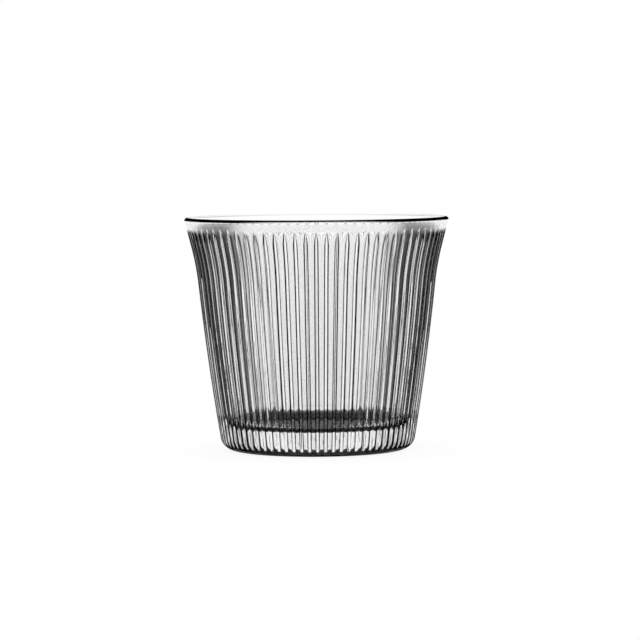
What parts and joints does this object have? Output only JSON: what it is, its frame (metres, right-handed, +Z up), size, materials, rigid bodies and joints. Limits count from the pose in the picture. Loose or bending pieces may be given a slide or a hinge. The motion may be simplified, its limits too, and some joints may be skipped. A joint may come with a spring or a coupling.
{
  "type": "rocks glass",
  "caption": "Clear pressed-glass rocks glass with a flared smooth lip, a wall of narrow upright flutes and a thick base on a low foot ring.",
  "frame": {"origin": "centre of the foot ring's bearing face, on the surface that the glass stands on", "axes": "+Z up along the axis of the glass, +X and +Y across it, with one flute facing -Y"},
  "size_m": [0.0914, 0.0914, 0.0805],
  "materials": {
    "clear_glass": "clear polished soda-lime glass"
  },
  "bodies": {
    "root": {"rim": "clear_glass", "fluted_wall": "clear_glass", "base": "clear_glass", "foot_ring": "clear_glass"}
  },
  "joints": []
}
